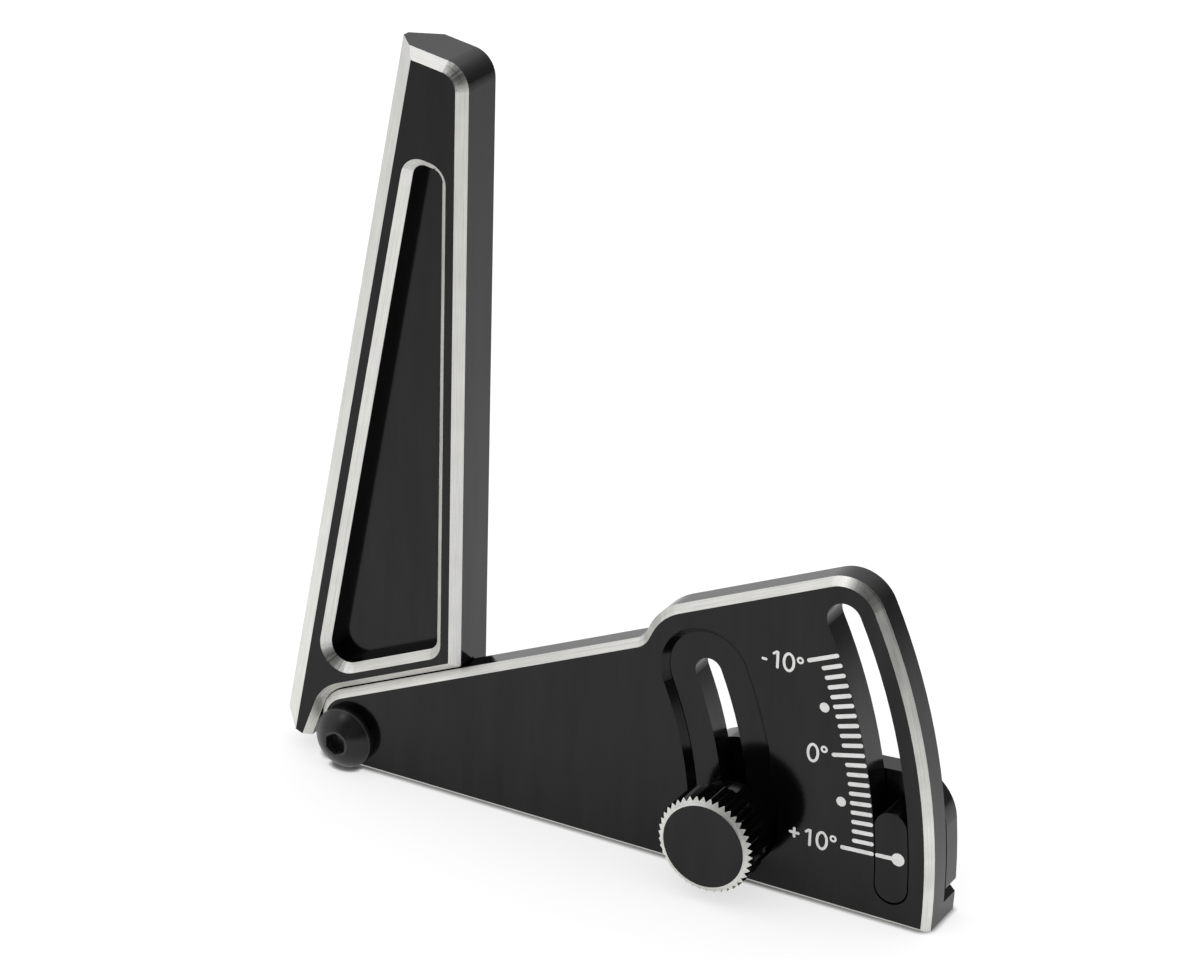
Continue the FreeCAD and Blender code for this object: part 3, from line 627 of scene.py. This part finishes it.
class GAUGE_OT_sector_plate(Operator):
    """Sector plate with its bright front edge"""
    bl_idname = "gauge.sector_plate"
    bl_label = "Sector Plate"

    def execute(self, context):
        mesh = merged_copy("sector_plate", "base_plate", plate_face_kind, low_cut=LOW_EDGE_CUT)
        # The plate's low edge takes the lighter copy of the cut: painted light.
        plate = finished_piece("sector_plate", mesh, "base",
                               [black_material(), bright_material(), soft_painted_light_material()])
        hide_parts("base_plate")
        return {"FINISHED"}


class GAUGE_OT_swing_arm(Operator):
    """Swinging arm with its measuring edge and open pocket"""
    bl_idname = "gauge.swing_arm"
    bl_label = "Swing Arm"

    def execute(self, context):
        mesh = merged_copy("swing_arm", "gauge_arm", arm_face_kind)
        edge = shared_material("measuring_edge_cut", bright_cut, shade=0.9)
        # The leg's upward facet takes a lighter, glossier copy of the black finish: painted
        # light from above.
        facet = shared_material("facet_painted_light", anodised, lightness=6.0, specular=0.8)
        arm = finished_piece("swing_arm", mesh, "arm",
                             [black_material(), bright_material(), edge, corner_glint_material(),
                              facet, soft_painted_light_material()])
        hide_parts("gauge_arm")
        return {"FINISHED"}


class GAUGE_OT_thumb_knob(Operator):
    """Knurled thumbscrew head"""
    bl_idname = "gauge.thumb_knob"
    bl_label = "Thumb Knob"

    def execute(self, context):
        mesh = merged_copy("knurled_knob", "thumb_knob", knob_face_kind, rim_cut=KNOB_RIM_CUT)
        turned = shared_material("turned_black", anodised, turned=CLAMP)
        # The knob's cut edge takes the lighter copy of the cut: painted light.
        knob = finished_piece("knurled_knob", mesh, "thumbscrew",
                              [turned, soft_painted_light_material()])
        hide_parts("thumb_knob")
        return {"FINISHED"}


class GAUGE_OT_pivot_screw(Operator):
    """Button-head screw with a hexagon socket"""
    bl_idname = "gauge.pivot_screw"
    bl_label = "Pivot Screw"

    def execute(self, context):
        mesh = merged_copy("button_head_screw", "pivot_screw", lambda face: MAIN_FINISH)
        # The paler rings on the head are painted highlights.
        oxide = shared_material("screw_oxide", black_oxide, worn_rings=HIGHLIGHT_RINGS)
        screw = finished_piece("button_head_screw", mesh, "arm", [oxide])
        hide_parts("pivot_screw")
        return {"FINISHED"}


class GAUGE_OT_hardware(Operator):
    """Finish of the stud, the washers and the shim, with the washers darkened as painted shade
    """
    bl_idname = "gauge.hardware"
    bl_label = "Hardware"

    def execute(self, context):
        for node, material in (
                ("thumb_stud", shared_material("stud_steel", bare_steel)),
                # The washers take a far darker copy of the oxide: painted shade under the knob
                # and the screw's head.
                ("thumb_washer", shared_material("washer_oxide", black_oxide, lightness=0.15)),
                ("pivot_washer", shared_material("head_washer_oxide", black_oxide,
                                                 lightness=0.15)),
                ("pivot_shim", shared_material("shim_steel", bare_steel))):
            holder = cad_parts[node]
            holder.data.materials.clear()
            holder.data.materials.append(material)
        return {"FINISHED"}


# Marks on the front face


def mesh_from(name, bm):
    """A mesh of the finished bmesh, with its faces turned outwards."""
    bmesh.ops.recalc_face_normals(bm, faces=bm.faces)
    mesh = bpy.data.meshes.new(name)
    bm.to_mesh(mesh)
    bm.free()
    return mesh


def polar(radius, degrees):
    """A point on the front face, from the pivot."""
    angle = math.radians(degrees)
    return Vector((radius * math.cos(angle), FRONT, PIVOT.z + radius * math.sin(angle)))


def add_bar(bm, start, end, width, relief):
    """A flat bar with round ends between two points of the front face."""
    run = end - start
    place = (Matrix.Translation((start + end) / 2 + Vector((0, relief, 0)))
             @ Matrix.Rotation(-math.atan2(run.z, run.x), 4, "Y")
             @ Matrix.Diagonal((run.length, MARK_DEPTH * relief, width, 1)))
    made = bmesh.ops.create_cube(bm, size=1.0, matrix=place)["verts"]
    corners = [edge for edge in {e for v in made for e in v.link_edges}
               if abs((edge.verts[0].co - edge.verts[1].co).normalized().y) > 0.99]
    bmesh.ops.bevel(bm, geom=corners, offset=BAR_ROUNDING * width, offset_type="OFFSET",
                    segments=BAR_CORNER_STEPS, profile=0.5, affect="EDGES", material=-1)


def add_disc(bm, centre, diameter, relief):
    """A flat disc on the front face."""
    stand = (Matrix.Translation(centre + Vector((0, relief, 0)))
             @ Matrix.Rotation(math.radians(90), 4, "X"))
    bmesh.ops.create_cone(bm, cap_ends=True, segments=DISC_STEPS, radius1=diameter / 2,
                          radius2=diameter / 2, depth=MARK_DEPTH * relief, matrix=stand)


def add_ring(bm, centre, width, height, stroke, relief):
    """A flat oval ring on the front face."""
    rims = []
    for inset in (0.0, stroke):
        stand = (Matrix.Translation(centre - Vector((0, relief, 0)))
                 @ Matrix.Rotation(math.radians(90), 4, "X")
                 @ Matrix.Diagonal((width / 2 - inset, height / 2 - inset, 1, 1)))
        made = bmesh.ops.create_circle(bm, cap_ends=False, radius=1.0, segments=RING_STEPS,
                                       matrix=stand)
        rims += list({edge for vert in made["verts"] for edge in vert.link_edges})
    front = bmesh.ops.bridge_loops(bm, edges=rims)["faces"]
    grown = bmesh.ops.extrude_face_region(bm, geom=front, use_keep_orig=True)["geom"]
    moved = [item for item in grown if isinstance(item, bmesh.types.BMVert)]
    bmesh.ops.translate(bm, verts=moved, vec=(0, MARK_DEPTH * relief, 0))


def add_glyph(bm, glyph, centre, scale):
    """One sign of a number, drawn with an engraver's round strokes.

    Its proportions are shares of the digits' height. Where two strokes cross, the second one
    stands out less, so that no two faces lie in one plane.
    """
    tall, stroke, relief = scale.number_height, scale.number_stroke, scale.relief

    def spot(tool_marks_and_glints, up):
        return centre + Vector((tool_marks_and_glints * tall, 0, up * tall))

    if glyph == "0":
        add_ring(bm, centre, 0.64 * tall, tall, stroke, relief)
    elif glyph == "degree":
        add_ring(bm, centre, 0.36 * tall, 0.36 * tall, 0.75 * stroke, relief)
    elif glyph == "1":
        add_bar(bm, spot(0.12, -0.45), spot(0.12, 0.45), stroke, relief)
        add_bar(bm, spot(-0.14, 0.23), spot(0.10, 0.43), 0.9 * stroke, 0.7 * relief)
    elif glyph == "-":
        add_bar(bm, spot(-0.15, 0), spot(0.15, 0), stroke, relief)
    else:
        add_bar(bm, spot(-0.28, 0), spot(0.28, 0), stroke, relief)
        add_bar(bm, spot(0, -0.28), spot(0, 0.28), stroke, 0.7 * relief)


class GAUGE_OT_scale_marks(Operator):
    """One-degree marks and the dots at five degrees"""
    bl_idname = "gauge.scale_marks"
    bl_label = "Scale Marks"

    def execute(self, context):
        scale = context.scene.gauge_scale
        zero = math.degrees(scale.zero_angle)
        bm = bmesh.new()
        for degree in range(-scale.half_range, scale.half_range + 1):
            is_long = degree % 10 == 0
            inner = scale.long_radius if is_long else scale.short_radius
            width = scale.long_width if is_long else scale.short_width
            add_bar(bm, polar(inner, zero + degree), polar(scale.outer_radius, zero + degree),
                    width, scale.relief)
            if degree % 10 == 5:
                add_disc(bm, polar(scale.dot_radius, zero + degree), scale.dot_size,
                         scale.relief)
        finished_piece("scale_marks", mesh_from("scale_marks", bm), "base",
                       [mark_material()])
        return {"FINISHED"}


class GAUGE_OT_scale_numbers(Operator):
    """Numbers beside the end marks and the zero mark"""
    bl_idname = "gauge.scale_numbers"
    bl_label = "Scale Numbers"

    def execute(self, context):
        for name, glyphs in NUMBERS:
            bm = bmesh.new()
            for glyph, tool_marks_and_glints, up in glyphs:
                centre = Vector((tool_marks_and_glints * MM, FRONT, up * MM))
                add_glyph(bm, glyph, centre, context.scene.gauge_scale)
            finished_piece("number_" + name, mesh_from("number_" + name, bm), "base",
                           [mark_material()])
        return {"FINISHED"}


class GAUGE_OT_pointer_mark(Operator):
    """Index line and dot on the arm's pointer"""
    bl_idname = "gauge.pointer_mark"
    bl_label = "Pointer Mark"

    def execute(self, context):
        scale = context.scene.gauge_scale
        angle = math.degrees(scale.zero_angle) - scale.half_range
        line_end = scale.index_dot_radius - scale.index_dot_size / 2 + INDEX_LINE_OVERLAP
        bm = bmesh.new()
        add_bar(bm, polar(INDEX_LINE_START, angle), polar(line_end, angle), scale.long_width,
                0.7 * scale.relief)
        add_disc(bm, polar(scale.index_dot_radius, angle), scale.index_dot_size, scale.relief)
        finished_piece("pointer_mark", mesh_from("pointer_mark", bm), "arm",
                       [mark_material()])
        return {"FINISHED"}


# Stage


def seen_directly(tree):
    """1 where the camera sees the surface, straight or through glass, and 0 elsewhere."""
    path = add_node(tree, "ShaderNodeLightPath")
    return combine(tree, "MAXIMUM", path.outputs["Is Camera Ray"],
                   path.outputs["Is Transmission Ray"])


def floor_material(stage):
    """Matt grey floor with a glow of its own for the camera and for gloss.

    The camera's glow dims only where something touches the floor. The glow in gloss dims
    close to the gauge, with the distance from it, and towards the far right.
    """
    material, tree, shader = fresh_material("pale_floor")
    shade = stage.floor_shade
    shader.inputs["Base Color"].default_value = (shade, shade, shade, 1.0)
    shader.inputs["Roughness"].default_value = 0.9
    shader.inputs["Specular IOR Level"].default_value = 0.0
    shader.inputs["Emission Color"].default_value = (1.0, 1.0, 1.0, 1.0)

    touch = add_node(tree, "ShaderNodeAmbientOcclusion", Distance=TOUCH_REACH)
    plain = combine(tree, "MULTIPLY", seen_directly(tree),
                    spread(tree, touch.outputs["AO"], 0.0, 0.64, start=0.5, end=1.0))

    near = add_node(tree, "ShaderNodeAmbientOcclusion", Distance=NEAR_REACH)
    place = add_node(tree, "ShaderNodeTexCoord").outputs["Object"]
    away = add_node(tree, "ShaderNodeVectorMath", [(0, place)], operation="LENGTH")
    glow = combine(tree, "MULTIPLY",
                   spread(tree, near.outputs["AO"], 0.7, 1.0, start=0.3, end=1.0),
                   spread(tree, away.outputs["Value"], 0.66, 0.42, start=0.06, end=0.26))
    aside = reach_along(tree, FAR_RIGHT_WAY, "Object")
    glow = combine(tree, "MULTIPLY", glow,
                   spread(tree, aside, 1.0, 0.1, start=0.22, end=0.65))
    path = add_node(tree, "ShaderNodeLightPath")
    gloss = combine(tree, "MULTIPLY", path.outputs["Is Glossy Ray"], glow)

    tree.links.new(combine(tree, "MAXIMUM", plain, gloss), shader.inputs["Emission Strength"])
    return material


def add_floor(stage):
    """The floor under the gauge."""
    bm = bmesh.new()
    bmesh.ops.create_grid(bm, x_segments=1, y_segments=1, size=stage.floor_size / 2)
    mesh = bpy.data.meshes.new("floor")
    bm.to_mesh(mesh)
    bm.free()
    mesh.materials.append(floor_material(stage))
    floor = bpy.data.objects.new("floor", mesh)
    bpy.context.scene.collection.objects.link(floor)


def studio_sky(stage):
    """White for the camera, even for matt surfaces, and dark on its unlit side for gloss."""
    world = bpy.data.worlds.new("studio")
    world.use_nodes = True
    sky = world.node_tree
    background = sky.nodes["Background"]
    background.inputs["Color"].default_value = (1.0, 1.0, 1.0, 1.0)
    path = add_node(sky, "ShaderNodeLightPath")
    side = spread(sky, reach_along(sky, UNLIT_WAY, "Generated"), 1.0, stage.dark_side,
                  start=-0.3, end=0.25)
    gloss = add_node(sky, "ShaderNodeMix", [("Factor", path.outputs["Is Glossy Ray"]),
                                            ("B", side)], A=stage.fill)
    strength = add_node(sky, "ShaderNodeMix", [("Factor", seen_directly(sky)),
                                               ("A", gloss.outputs[0])], B=1.0)
    sky.links.new(strength.outputs[0], background.inputs["Strength"])
    return world


def add_lamp(name, power, size, place, target):
    """A square lamp that shines on the target."""
    lamp = bpy.data.lights.new(name, "AREA")
    lamp.shape = "SQUARE"
    lamp.size = size
    lamp.energy = power
    holder = bpy.data.objects.new(name, lamp)
    bpy.context.scene.collection.objects.link(holder)
    holder.location = place
    holder.rotation_euler = (target - place).to_track_quat("-Z", "Y").to_euler()


def add_camera(stage):
    """The camera, turned by its yaw, then its pitch, then its roll."""
    camera = bpy.data.cameras.new("camera")
    camera.sensor_width = 36.0
    camera.lens = stage.focal_length
    camera.clip_end = 20.0
    holder = bpy.data.objects.new("camera", camera)
    bpy.context.scene.collection.objects.link(holder)
    ahead = Vector((-math.sin(CAMERA_YAW) * math.cos(CAMERA_PITCH),
                    math.cos(CAMERA_YAW) * math.cos(CAMERA_PITCH), -math.sin(CAMERA_PITCH)))
    level = Vector((math.cos(CAMERA_YAW), math.sin(CAMERA_YAW), 0.0))
    upright = level.cross(ahead)
    right = level * math.cos(CAMERA_ROLL) + upright * math.sin(CAMERA_ROLL)
    up = upright * math.cos(CAMERA_ROLL) - level * math.sin(CAMERA_ROLL)
    turn = Matrix((right, up, -ahead)).transposed().to_4x4()
    holder.matrix_world = Matrix.Translation(CAMERA_PLACE) @ turn
    bpy.context.scene.camera = holder


class GAUGE_OT_stage(Operator):
    """Floor, light, sky and camera"""
    bl_idname = "gauge.stage"
    bl_label = "Stage"

    def execute(self, context):
        stage = context.scene.gauge_stage
        add_floor(stage)
        context.scene.world = studio_sky(stage)
        middle = (cad_low + cad_high) / 2
        add_lamp("top_lamp", stage.top_power, TOP_LAMP_SIZE, middle + TOP_LAMP_OFFSET, middle)
        add_lamp("front_lamp", stage.front_power, FRONT_LAMP_SIZE, FRONT_LAMP_PLACE, PIVOT)
        add_camera(stage)
        context.scene.view_settings.view_transform = "Standard"
        return {"FINISHED"}


# Add-on


STEPS = (GAUGE_OT_sector_plate, GAUGE_OT_swing_arm, GAUGE_OT_thumb_knob, GAUGE_OT_pivot_screw,
         GAUGE_OT_scale_marks, GAUGE_OT_scale_numbers, GAUGE_OT_pointer_mark,
         GAUGE_OT_hardware, GAUGE_OT_stage)

GROUPS = (("gauge_finish", GaugeFinish), ("gauge_scale", GaugeScale),
          ("gauge_stage", GaugeStage))


class VIEW3D_PT_camber_gauge(Panel):
    """Steps that dress the gauge"""
    bl_label = "Camber Caster Gauge"
    bl_space_type = "VIEW_3D"
    bl_region_type = "UI"
    bl_category = "Gauge"

    def draw(self, context):
        for step in STEPS:
            self.layout.operator(step.bl_idname)


def register():
    """Give Blender the settings, the steps and the panel."""
    for name, group in GROUPS:
        bpy.utils.register_class(group)
        setattr(bpy.types.Scene, name, PointerProperty(type=group))
    for step in STEPS:
        bpy.utils.register_class(step)
    bpy.utils.register_class(VIEW3D_PT_camber_gauge)


def unregister():
    """Take the panel, the steps and the settings away again."""
    bpy.utils.unregister_class(VIEW3D_PT_camber_gauge)
    for step in reversed(STEPS):
        bpy.utils.unregister_class(step)
    for name, group in reversed(GROUPS):
        delattr(bpy.types.Scene, name)
        bpy.utils.unregister_class(group)


def main():
    """Dress the frame step by step."""
    register()
    for step in STEPS:
        area, action = step.bl_idname.split(".")
        getattr(getattr(bpy.ops, area), action)()


if __name__ == "__main__":
    main()
